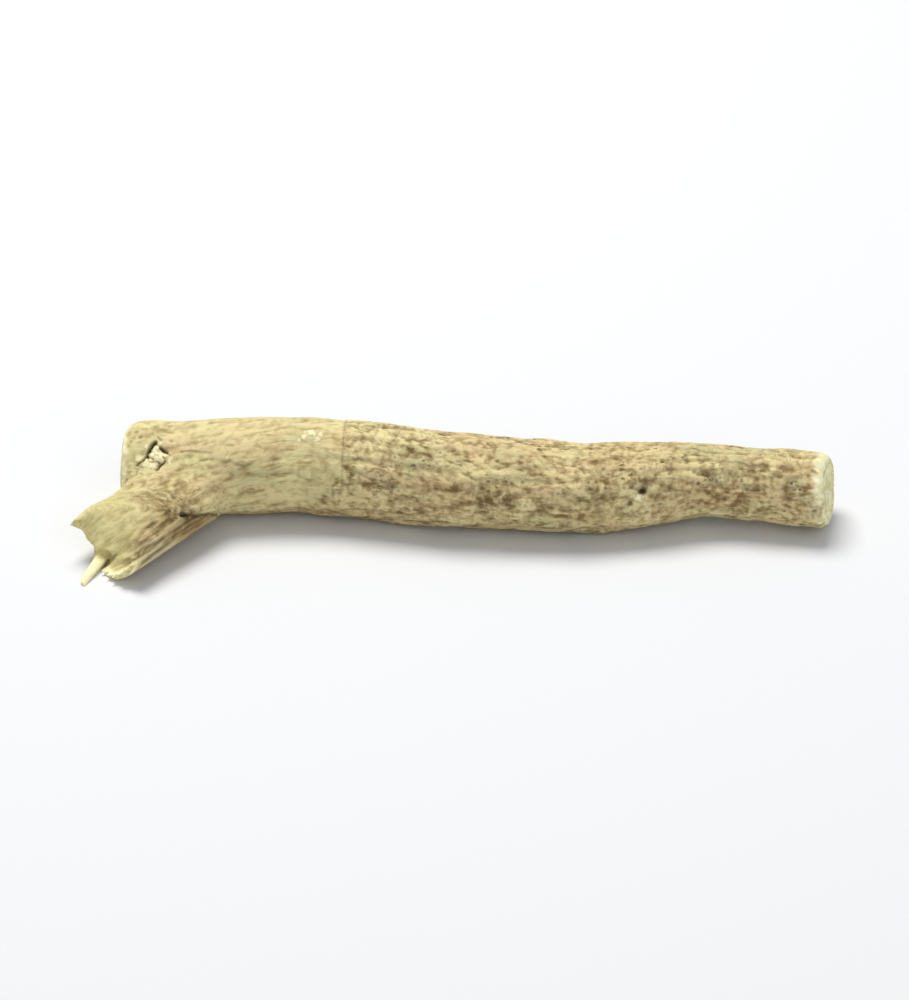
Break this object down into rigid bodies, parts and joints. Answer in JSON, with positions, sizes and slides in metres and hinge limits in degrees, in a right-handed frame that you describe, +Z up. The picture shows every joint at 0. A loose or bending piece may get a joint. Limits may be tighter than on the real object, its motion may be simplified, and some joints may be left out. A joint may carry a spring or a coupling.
{
  "type": "ashwagandha root",
  "caption": "Dried, cut length of taproot with a torn side root at its thick end, lying on its side.",
  "frame": {"origin": "on the surface that the root lies on, at the middle of its footprint", "axes": "+Z up, +X along the root towards its cleanly cut end, the torn side root pointing to -X and -Y"},
  "size_m": [0.102, 0.0286, 0.0133],
  "materials": {
    "dried_root": "matte, dry straw-brown root bark, paler where it is torn or cut"
  },
  "bodies": {
    "root": {"ashwagandha_root": "dried_root"}
  },
  "joints": []
}
